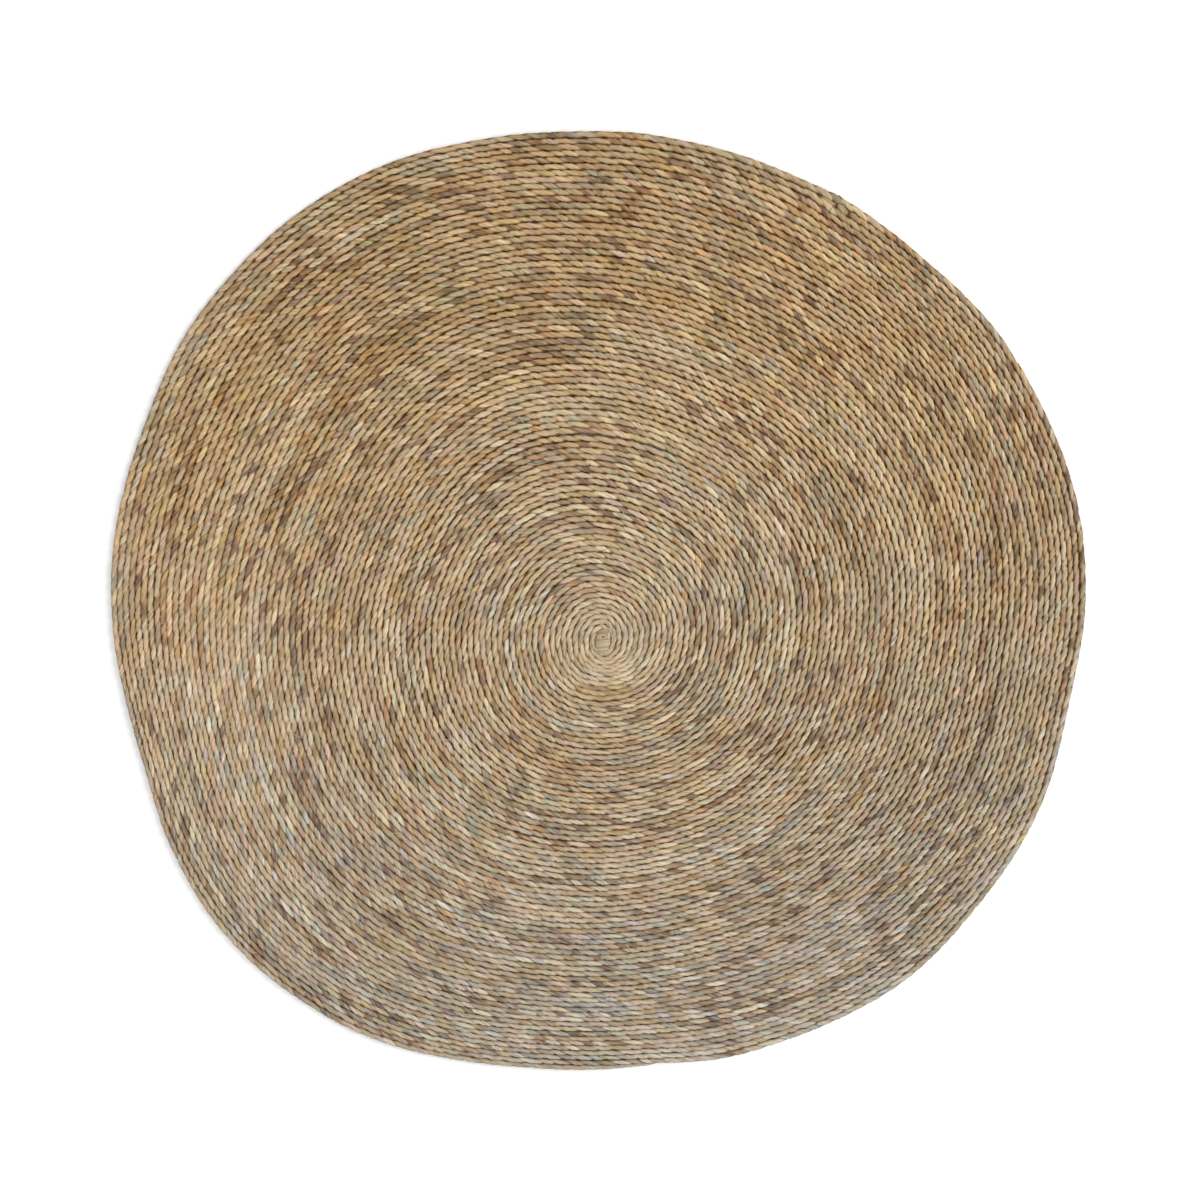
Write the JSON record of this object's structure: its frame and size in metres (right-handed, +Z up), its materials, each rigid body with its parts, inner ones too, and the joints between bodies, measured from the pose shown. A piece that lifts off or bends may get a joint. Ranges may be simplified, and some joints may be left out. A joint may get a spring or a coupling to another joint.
{
  "type": "round coiled seagrass floor mat",
  "caption": "Flat round floor mat of twisted seagrass rope wound in a spiral, slightly uneven at the rim, with soft ridges that follow the turns.",
  "frame": {"origin": "on the floor under the middle of the mat's box", "axes": "+Z up out of the mat's face, which lies flat; +Y towards the top of the picture, +X to its right"},
  "size_m": [1.0005, 0.9747, 0.0094],
  "materials": {
    "seagrass": "dry, matt twisted grass with a faint sheen on the rounded strands"
  },
  "bodies": {
    "root": {"mat": "seagrass"}
  },
  "joints": []
}
